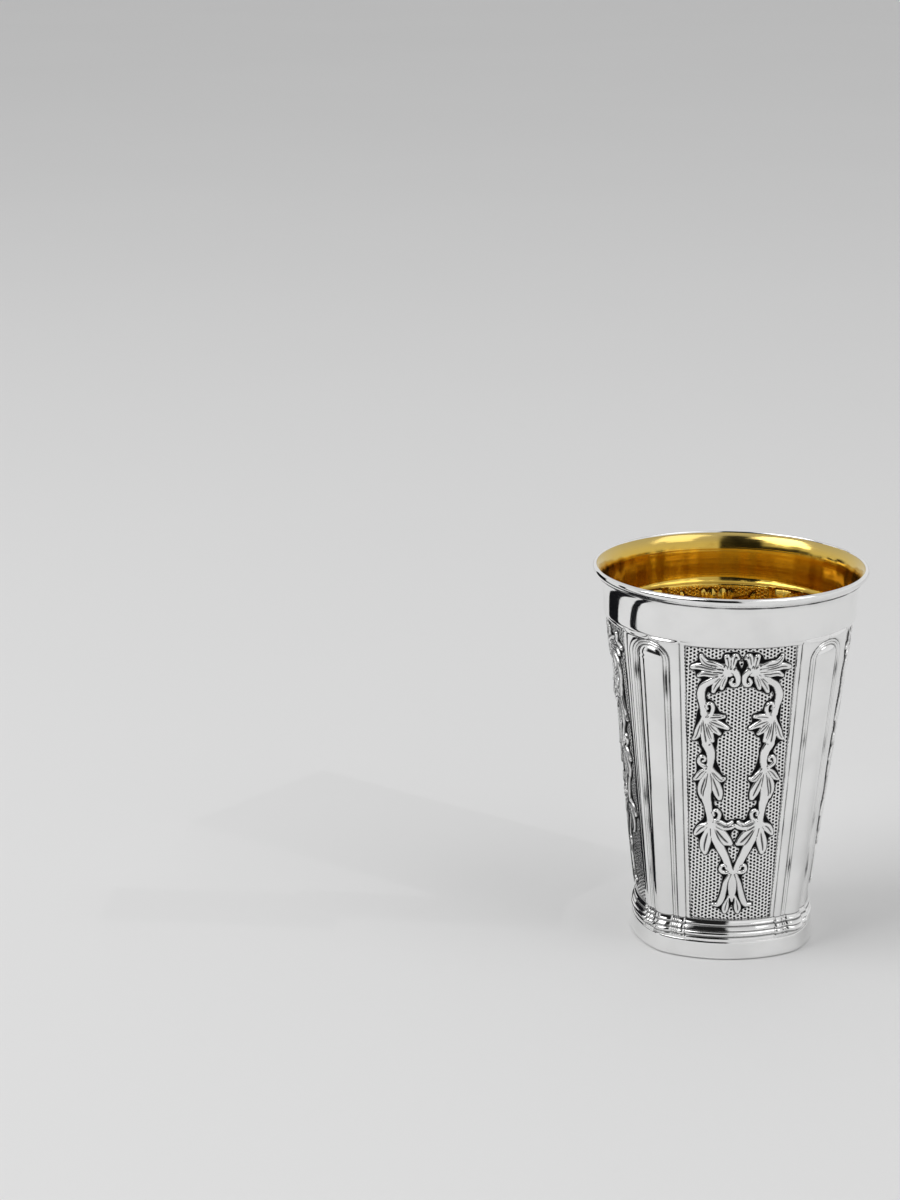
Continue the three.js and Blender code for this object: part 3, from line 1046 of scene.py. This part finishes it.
@dataclass
class LeafPanel(WrappedPiece):
    """One chased panel: a leaf wreath in low relief on a punched ground.

    Its number counts quarter turns from the front, and shifts its pits.
    """

    group: FluteGroup
    wreath: LeafWreath
    number: int
    tuck: float = 0.5
    thickness: float = 0.42
    mesh_step: float = 0.17
    narrowing: float = 0.93
    bottom: float = 9.4

    def columns(self) -> Array:
        """Degrees from the panel's middle, with its edges tucked under the frames."""
        half = QUARTER / 2 - self.group.frame_end + self.tuck
        gap = math.degrees(self.mesh_step / (self.plan.body_top_radius * self.narrowing))
        return stretches((-half, half, gap))

    def rows(self) -> Array:
        """Heights up the face, then down the back."""
        top = self.plan.flute_top + 0.15
        up = stretches((self.bottom, top, self.mesh_step))
        down = BEHIND + stretches((top, self.bottom, 4.0))
        return np.concatenate([up, down, up[:1]])

    def place(self, azimuth: Array, row: Array) -> tuple[Array, Marks]:
        """Shapes the wreath and the ground.

        Args:
            azimuth: Degrees from the panel's middle.
            row: Height up the face, or down the back with BEHIND added.

        Returns:
            Points in metres and the finish's marks.
        """
        behind, z = front_and_back(row)
        ground = self.plan.ground(azimuth, z)
        across = np.radians(azimuth) * self.plan.body_radius(z)
        rise, marks = self.wreath.carve(across, z, self.number)
        edge = QUARTER / 2 - self.group.frame_end
        inside = (1 - step(np.abs(azimuth), edge - 0.05, edge + 0.3)) * step(z, 9.5, 9.75)
        inside = inside * (1 - step(z, self.plan.flute_top - 0.1, self.plan.flute_top + 0.1))
        frame_line = cut(np.abs(azimuth) - edge, 0.3)
        rise = rise * inside - 0.2 * (1 - inside)
        radius = ground + np.where(behind, -self.thickness, rise)
        # The margin tucked under the frames is painted black as painted shade; the line along the frames is
        # a dark joint.
        marks["oxide_and_shade"] = np.maximum(marks["oxide_and_shade"], np.maximum(frame_line * 0.8, 1 - inside)) * ~behind
        marks["punched"] = marks["punched"] * inside * ~behind
        return self.plan.point(azimuth + QUARTER * self.number, radius, z), marks


@dataclass
class FootRing(WrappedPiece):
    """The plain foot band with the recess under it."""

    smooth: ClassVar[float] = 35.0
    corner_rounding: float = 4.0
    # Section from the top of the band round the recess: height, radius and squareness.
    section: tuple[Triple, ...] = (
        (8.4, 0.0, 0.0), (8.4, 17.5, 0.6), (4.7, 19.8, 1.0), (4.42, 20.9, 1.0), (4.36, 21.15, 1.0),
        (4.2, 21.26, 1.0), (3.6, 21.34, 1.0), (2.0, 21.55, 1.0), (0.9, 21.7, 1.0), (0.5, 21.68, 1.0),
        (0.22, 21.55, 1.0), (0.06, 21.25, 1.0), (0.0, 20.9, 1.0), (0.0, 20.4, 0.35), (0.1, 20.1, 0.1),
        (0.35, 19.95, 0.0), (1.0, 19.9, 0.0), (4.5, 19.6, 0.0), (7.0, 19.2, 0.0), (7.5, 18.6, 0.0),
        (7.65, 17.0, 0.0), (7.8, 8.0, 0.0), (7.8, 0.0, 0.0))

    def rows(self) -> Array:
        """Places along the section."""
        return stretches((0, len(self.section) - 1, 0.5))

    def place(self, azimuth: Array, row: Array) -> tuple[Array, Marks]:
        """Shapes the foot.

        Args:
            azimuth: Degrees round the cup.
            row: Place along the section.

        Returns:
            Points in metres and the finish's marks.
        """
        z, radius, square = (profile_at(self.section, row, item) for item in range(3))
        seam = 0.5 * cut(z - 4.4, 0.15) * (radius > 20)
        radius = radius * self.plan.plan(azimuth, square, self.corner_rounding)
        return self.plan.point(azimuth, radius, z), {"oxide_and_shade": seam}


@dataclass
class GildedLining(WrappedPiece):
    """The gilded inside, which shows the flutes and leaves in reverse."""

    group: FluteGroup
    wreath: LeafWreath
    slot: ClassVar[Slot] = Slot.GILDING
    columns_step: ClassVar[float] = 0.6
    backing: float = 0.12
    depth: float = 1.05
    pocket: float = 0.6
    ripple: float = 0.09
    # Section from the floor's middle to the rim: radius and height.
    section: tuple[tuple[float, float], ...] = (
        (0.0, 9.0), (6.0, 9.0), (12.0, 9.0), (17.0, 9.05), (18.3, 9.3), (19.0, 9.9), (19.25, 10.6))
    top: tuple[tuple[float, float], ...] = (
        (27.3, 77.7), (27.75, 77.95), (28.1, 78.25), (28.4, 78.7), (28.55, 79.4), (28.62, 80.2),
        (28.7, 82.0), (28.82, 84.0), (28.95, 85.6),
        (29.2, 87.0), (29.65, 88.1), (30.25, 89.0), (30.88, 89.6))

    def rows(self) -> Array:
        """Spaces the rows.

        Returns:
            Places on the floor's section, wall heights with ON_WALL added and places on the top's
            section with ON_RIM added, then the same down the back with BEHIND added.
        """
        floor = stretches((0, len(self.section) - 1, 0.5))
        wall = ON_WALL + stretches((10.9, 58.0, 1.3), (58.0, 77.6, 0.33))
        rim = ON_RIM + stretches((0, len(self.top) - 1, 0.5))
        back = np.concatenate([rim[::-5], wall[::-12], floor[::-6], [0.0]])
        return np.concatenate([floor, wall, rim, back + BEHIND])

    def place(self, azimuth: Array, row: Array) -> tuple[Array, Marks]:
        """Shapes the lining.

        Args:
            azimuth: Degrees round the cup.
            row: Place up the lining or down its back, as rows gives them.

        Returns:
            Points in metres and the finish's marks.
        """
        plan = self.plan
        behind, row = front_and_back(row)
        on_rim, on_wall = row >= ON_RIM, (row >= ON_WALL) & (row < ON_RIM)
        floor_row = np.clip(row, 0, len(self.section) - 1)
        rim_row = np.clip(row - ON_RIM, 0, len(self.top) - 1)
        floor_radius, floor_z = (profile_at(self.section, floor_row, item) for item in (0, 1))
        rim_radius, rim_z = (profile_at(self.top, rim_row, item) for item in (0, 1))
        z = np.where(on_wall, row - ON_WALL, np.where(on_rim, rim_z, floor_z))
        radius = np.where(on_rim, rim_radius, floor_radius)
        radius = np.where(on_wall, plan.body_radius(z) - self.depth, radius)
        rim_square = plan.top_square * (1 - step(z, 77.6, 79.5))
        square = np.where(on_rim, rim_square, plan.bottom_square)
        square = np.where(on_wall, plan.body_square(z), square)
        square = np.where(z < 10.6, square * step(radius, 6.0, 18.0), square)
        turn, side = plan.from_corner(azimuth), plan.from_side(azimuth)
        rise, dark = self.group.shape(turn, z)
        panel = step(turn, self.group.frame_end - 0.3, self.group.frame_end + 0.3)
        shown = on_wall & ~behind
        carved, marks = self.wreath.carve(np.radians(side) * plan.body_radius(z), z, 2)
        relief = rise * (1 - panel) + carved * panel
        relief = self.pocket * relief * on_wall * step(z, 10.9, 14.0) * (1 - 0.6 * step(z, 76.8, 77.6))
        rippled = step(z, 58.0, 70.0) * (1 - step(z, 87.0, 89.0))
        ripple = self.ripple * wander(10 * np.radians(azimuth), 1.0) * rippled
        radius = radius * plan.plan(azimuth, square) + relief + ripple + np.where(behind, self.backing, 0)
        z = np.where(behind & (row < ON_WALL), z - self.backing, z)
        # Painted shade: the wreath's and flutes' dark marks copied onto the reversed relief, and lines along
        # the reversed frames.
        oxide_and_shade = shown * (0.6 * marks["oxide_and_shade"] * panel + 0.7 * dark * (1 - panel))
        oxide_and_shade = np.maximum(oxide_and_shade, 0.8 * cut(turn - self.group.frame_end, 0.4) * shown)
        marks["oxide_and_shade"] = np.maximum(oxide_and_shade, 0.5 * cut(z - 77.8, 0.3) * ~behind)
        marks["punched"] = marks["punched"] * panel * shown * (1 - step(z, 77.0, 77.4))
        return plan.point(azimuth, radius, z), marks


# ------------------------------------------------------------------ the studio


@dataclass
class Card:
    """A dark card that only reflections see, bent at its foot so that part of it lies toward the cup."""

    name: str
    azimuth: float
    distance: float
    width: float
    height: float
    near: float = 38.0

    def build(self, material: bpy.types.Material) -> bpy.types.Object:
        """Lays the card on the floor and extrudes its far edge upward.

        Args:
            material: The card's dark material.

        Returns:
            The card.
        """
        turn = math.radians(self.azimuth)
        toward = (math.sin(turn) * MM, -math.cos(turn) * MM)
        middle, long = (self.near + self.distance) / 2, self.distance - self.near
        where = (middle * toward[0], middle * toward[1], 0.2 * MM)
        start_clean()
        bpy.ops.mesh.primitive_plane_add(size=1, location=where, rotation=(0, 0, turn))
        card = bpy.context.object
        card.name = self.name
        card.scale = (self.width * MM, long * MM, 1)
        bpy.ops.object.transform_apply(location=True, rotation=True, scale=True)
        far = [vertex.co.x * toward[0] + vertex.co.y * toward[1] for vertex in card.data.vertices]
        bpy.ops.object.mode_set(mode="EDIT")
        bpy.ops.mesh.select_all(action="DESELECT")
        bpy.ops.object.mode_set(mode="OBJECT")
        for vertex, away in zip(card.data.vertices, far):
            vertex.select = away > (min(far) + max(far)) / 2
        bpy.ops.object.mode_set(mode="EDIT")
        bpy.ops.mesh.extrude_region_move(TRANSFORM_OT_translate={"value": (0, 0, self.height * MM)})
        bpy.ops.object.mode_set(mode="OBJECT")
        card.data.materials.append(material)
        card.visible_camera = card.visible_diffuse = card.visible_shadow = False
        return card


@dataclass
class Studio:
    """Pale floor, soft lamps, pale room and the dark cards at the cup's left."""

    floor_size: float = 14.0
    floor_colour: Colour = (0.80, 0.80, 0.80, 1)
    room: float = 0.755
    ceiling: float = 0.62
    cards: tuple[Card, ...] = (
        Card("dark_card_wide", -129.0, 150.0, 54.0, 120.0),
        Card("dark_card_narrow", -96.0, 150.0, 21.0, 120.0, 92.0),
        Card("dark_card_low", -99.0, 104.0, 16.0, 1.0),
    )

    def floor(self) -> None:
        """Lays the floor and gives it a faint mottle."""
        start_clean()
        bpy.ops.mesh.primitive_plane_add(size=self.floor_size, location=(0, 0, 0))
        floor = bpy.context.object
        floor.name = "floor"
        material, recipe = new_material("pale floor")
        mottle = recipe.noise(3.0, 2.0)
        low = tuple(0.97 * value for value in self.floor_colour[:3]) + (1.0,)
        shade(recipe, {"Base Color": recipe.mix(mottle, low, self.floor_colour), "Roughness": 0.75})
        floor.data.materials.append(material)

    def walls(self) -> None:
        """Lights the room: pale all round, dimmer overhead, dark low down behind the viewer's left."""
        world = bpy.data.worlds.new("pale room")
        bpy.context.scene.world = world
        world.use_nodes = True
        recipe = Recipe(world.node_tree)
        way = recipe.node("ShaderNodeTexCoord", {}, {}, "Generated")
        x, y, z = (recipe.node("ShaderNodeSeparateXYZ", {}, {0: way}, axis) for axis in "XYZ")
        bearing = x.math("ARCTAN2", y * -1.0)
        right_end = 1 - bearing.within(0.02, 0.12)
        low = bearing.within(-1.6, -1.35) * right_end * (1 - z.within(0.26, 0.38))
        tall = bearing.within(-0.78, -0.6) * right_end * (1 - z.within(0.88, 0.96))
        dark = low.math("MAXIMUM", tall)
        strength = self.room + (self.ceiling - self.room) * z.within(0.2, 0.8)
        strength = strength * (1 - 0.98 * dark)
        light = recipe.node("ShaderNodeBackground", {}, {"Color": (1, 1, 1, 1), "Strength": strength}, 0)
        output = world.node_tree.nodes.new("ShaderNodeOutputWorld")
        world.node_tree.links.new(light.socket, output.inputs["Surface"])

    def lamp(
        self, name: str, azimuth: float, elevation: float, distance: float, size: float, watts: float
    ) -> None:
        """Adds one square soft lamp aimed at the cup.

        Args:
            name: The lamp's name.
            azimuth: Degrees round from the front.
            elevation: Degrees above the floor.
            distance: Metres from the cup.
            size: Side in metres.
            watts: Power.
        """
        a, e = math.radians(azimuth), math.radians(elevation)
        out, height = distance * math.cos(e), distance * math.sin(e)
        where = (out * math.sin(a), -out * math.cos(a), height)
        start_clean()
        bpy.ops.object.light_add(type="AREA", location=where, rotation=(math.pi / 2 - e, 0, a))
        lamp = bpy.context.object
        lamp.name = name
        lamp.data.size = size
        lamp.data.energy = watts

    def build(self) -> None:
        """Sets up the floor, room, lamps and cards."""
        self.floor()
        self.walls()
        self.lamp("left_softbox", -70.0, 50.0, 1.6, 1.0, 8.4)
        self.lamp("right_softbox", 60.0, 55.0, 1.8, 1.0, 3.5)
        material, recipe = new_material("dark card")
        shade(recipe, {"Base Color": (0.012, 0.012, 0.014, 1), "Roughness": 1.0, "Specular IOR Level": 0.0})
        for card in self.cards:
            card.build(material)


@dataclass
class ViewingCamera:
    """The camera that looks down on the cup from the front and a little left."""

    location: Triple = (-71.68, -627.59, 255.93)
    pitch: float = 15.544
    yaw: float = -0.6
    lens: float = 84.0
    sensor: float = 36.0

    def build(self) -> None:
        """Adds the camera and makes it the scene's."""
        start_clean()
        turned = (math.radians(90 - self.pitch), 0, math.radians(self.yaw))
        where = tuple(value * MM for value in self.location)
        bpy.ops.object.camera_add(location=where, rotation=turned)
        camera = bpy.context.object
        camera.name = "viewing_camera"
        camera.data.lens = self.lens
        camera.data.sensor_width = self.sensor
        camera.data.clip_start = 0.01
        bpy.context.scene.camera = camera


def main() -> None:
    """Builds the cup, its studio and the camera."""
    logging.basicConfig(level=logging.INFO, format="%(message)s")
    low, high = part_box(CUP_NODE)
    plan = CupPlan(height=(high[2] - low[2]) / MM, lip_radius=(high[0] - low[0]) / 2 / MM)
    group, wreath = FluteGroup(), LeafWreath()
    polished = SilverFinish("polished silver").material()
    chased = SilverFinish("chased silver", polish=0.1, satin=0.22, punched=wreath).material()
    gilded = Gilding("gilding", height=high[2], punched=wreath).material()
    ViewingCamera().build()
    Studio().build()
    pieces = [
        BandAndLip(plan).build(polished),
        FlutedWall("fluted_wall", plan, group).build(polished),
        FootRing("foot_ring", plan).build(polished),
        GildedLining("gilded_lining", plan, group, wreath).build(gilded),
    ]
    for number, side in enumerate(SIDES):
        panel = LeafPanel(f"leaf_panel_{side}", plan, group, wreath, number)
        pieces.append(panel.build(chased))
    for piece in pieces:
        piece.data.calc_loop_triangles()
        LOG.info("%s: %d triangles", piece.name, len(piece.data.loop_triangles))
    bpy.context.scene.view_settings.view_transform = "Standard"


if __name__ == "__main__":
    main()
